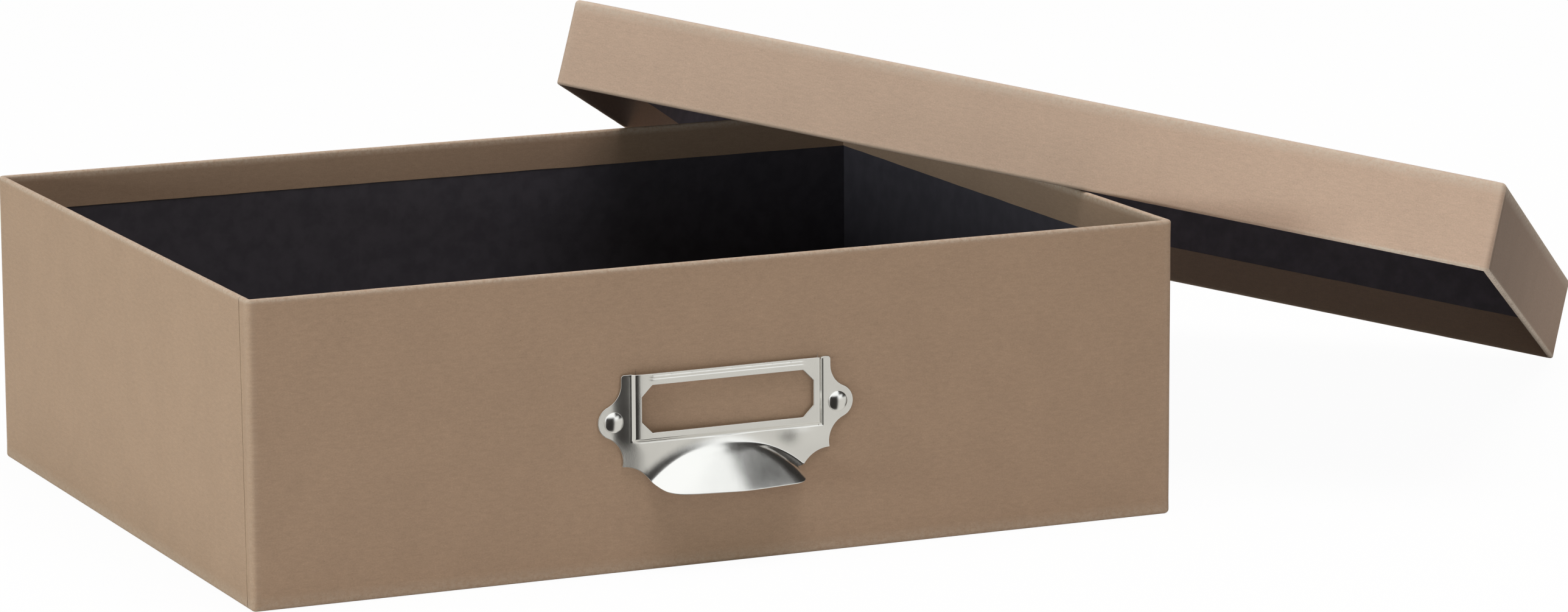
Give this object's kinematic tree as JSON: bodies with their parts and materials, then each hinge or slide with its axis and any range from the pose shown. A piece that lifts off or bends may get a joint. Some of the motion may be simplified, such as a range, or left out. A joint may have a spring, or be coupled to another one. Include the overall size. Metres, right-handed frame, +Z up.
{
  "type": "file box with lift-off lid",
  "caption": "Kraft-covered rigid file box with a leaning lift-off lid, black lining, and a riveted metal label holder with cup pull.",
  "frame": {"origin": "middle of the box's underside, where it rests on the table", "axes": "+X right along the front, +Y from the front with the label holder to the back, +Z up"},
  "size_m": [0.6316, 0.441, 0.1705],
  "materials": {
    "kraft_paper": "matte",
    "greyboard": "matte",
    "gummed_tape": "matte",
    "black_lining": "matte",
    "nickel_plate": "satin",
    "washer_steel": "satin"
  },
  "bodies": {
    "box": {"base_floor_board": "greyboard", "base_front_board": "greyboard", "base_back_board": "greyboard", "base_left_board": "greyboard", "base_right_board": "greyboard", "base_corner_stays": "gummed_tape", "base_side_wrap": "kraft_paper", "base_bottom_sheet": "kraft_paper", "base_lining": "black_lining", "label_holder": "nickel_plate", "left_rivet": "nickel_plate", "right_rivet": "nickel_plate", "rivet_washers": "washer_steel"},
    "lid": {"lid_top_board": "greyboard", "lid_front_board": "greyboard", "lid_back_board": "greyboard", "lid_left_board": "greyboard", "lid_right_board": "greyboard", "lid_corner_stays": "gummed_tape", "lid_side_wrap": "kraft_paper", "lid_top_sheet": "kraft_paper", "lid_lining": "black_lining"}
  },
  "joints": [
    {"name": "lid_lift", "type": "slide", "parent": "box", "child": "lid", "axis": [0, 0, 1], "range_m": [0, 0.15]}
  ]
}
